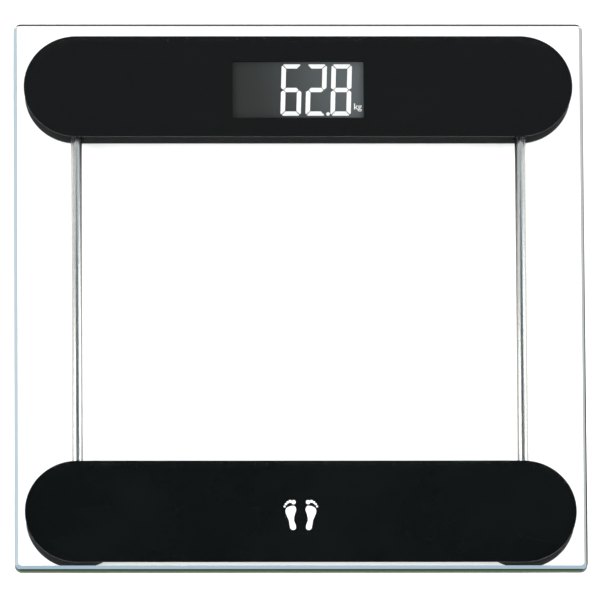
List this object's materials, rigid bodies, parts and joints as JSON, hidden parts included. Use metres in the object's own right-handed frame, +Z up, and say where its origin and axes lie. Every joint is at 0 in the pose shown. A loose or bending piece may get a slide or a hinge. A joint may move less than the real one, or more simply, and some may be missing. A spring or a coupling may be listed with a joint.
{
  "type": "digital bathroom scale",
  "caption": "Square clear glass bathroom scale with black pods, steel tubes, an LCD reading window and sprung weighing feet",
  "frame": {"origin": "on the floor under the middle of the glass platform, level with the undersides of the four foot pads", "axes": "+Z up through the glass, +Y towards the display pod at the back, +X to the user's right when standing on it facing the display"},
  "size_m": [0.31, 0.31, 0.028],
  "materials": {
    "clear_glass": "clear toughened glass with a ground edge",
    "black_film": "smooth black adhesive film seen through the glass",
    "dark_plastic": "fine satin moulded ABS",
    "foot_rubber": "matte rubber",
    "bright_steel": "bright drawn stainless steel",
    "screw_steel": "zinc-plated steel",
    "display_glass": "dark negative LCD with white segments",
    "milky_plastic": "milky light guide",
    "circuit_board": "green solder mask",
    "battery_sleeve": "plain printed sleeve",
    "wire_sleeve": "dark wire sleeving"
  },
  "bodies": {
    "platform": {"glass_platform": "clear_glass", "back_mask_film": "black_film", "front_mask_film": "black_film", "back_housing": "dark_plastic", "back_base_cover": "dark_plastic", "front_left_housing": "dark_plastic", "front_right_housing": "dark_plastic", "front_left_ring": "dark_plastic", "front_right_ring": "dark_plastic", "lcd_bezel": "dark_plastic", "controller_chip": "dark_plastic", "lcd_connector": "foot_rubber", "load_dome_back_left": "foot_rubber", "load_dome_back_right": "foot_rubber", "load_dome_front_left": "foot_rubber", "load_dome_front_right": "foot_rubber", "tube_bush_back_left": "foot_rubber", "tube_bush_back_right": "foot_rubber", "tube_bush_front_left": "foot_rubber", "tube_bush_front_right": "foot_rubber", "bridge_tube_left": "bright_steel", "bridge_tube_right": "bright_steel", "unit_switch": "bright_steel", "contact_bridge": "bright_steel", "contact_negative": "bright_steel", "contact_positive": "bright_steel", "cover_screw_1": "screw_steel", "cover_screw_2": "screw_steel", "cover_screw_3": "screw_steel", "cover_screw_4": "screw_steel", "cover_screw_5": "screw_steel", "cover_screw_6": "screw_steel", "board_screw_1": "screw_steel", "board_screw_2": "screw_steel", "board_screw_3": "screw_steel", "board_screw_4": "screw_steel", "lcd_panel": "display_glass", "lcd_backlight": "milky_plastic", "main_board": "circuit_board", "battery_back": "battery_sleeve", "battery_front": "battery_sleeve", "harness_back_left": "wire_sleeve", "harness_back_right": "wire_sleeve", "harness_front_left": "wire_sleeve", "harness_front_right": "wire_sleeve"},
    "foot_back_left": {"foot_pad_back_left": "foot_rubber", "foot_cup_back_left": "dark_plastic", "load_cell_back_left": "bright_steel"},
    "foot_back_right": {"foot_pad_back_right": "foot_rubber", "foot_cup_back_right": "dark_plastic", "load_cell_back_right": "bright_steel"},
    "foot_front_left": {"foot_pad_front_left": "foot_rubber", "foot_cup_front_left": "dark_plastic", "load_cell_front_left": "bright_steel"},
    "foot_front_right": {"foot_pad_front_right": "foot_rubber", "foot_cup_front_right": "dark_plastic", "load_cell_front_right": "bright_steel"},
    "unit_button": {"unit_button": "dark_plastic"},
    "battery_door": {"battery_door": "dark_plastic"}
  },
  "joints": [
    {"name": "foot_back_left_press", "type": "slide", "parent": "platform", "child": "foot_back_left", "axis": [0, 0, 1], "range_m": [0, 0.0008], "stiffness_N_per_m": 550000, "deforming": ["load_dome_back_left"]},
    {"name": "foot_back_right_press", "type": "slide", "parent": "platform", "child": "foot_back_right", "axis": [0, 0, 1], "range_m": [0, 0.0008], "stiffness_N_per_m": 550000, "deforming": ["load_dome_back_right"]},
    {"name": "foot_front_left_press", "type": "slide", "parent": "platform", "child": "foot_front_left", "axis": [0, 0, 1], "range_m": [0, 0.0008], "stiffness_N_per_m": 550000, "deforming": ["load_dome_front_left"]},
    {"name": "foot_front_right_press", "type": "slide", "parent": "platform", "child": "foot_front_right", "axis": [0, 0, 1], "range_m": [0, 0.0008], "stiffness_N_per_m": 550000, "deforming": ["load_dome_front_right"]},
    {"name": "unit_button_press", "type": "slide", "parent": "platform", "child": "unit_button", "axis": [0, 0, 1], "range_m": [0, 0.0006], "stiffness_N_per_m": 3300},
    {"name": "battery_door_hinge", "type": "hinge", "parent": "platform", "child": "battery_door", "pos_m": [-0.07007, 0.10554, 0.0049], "axis": [-1, 0, 0], "range_deg": [0, 90]}
  ]
}
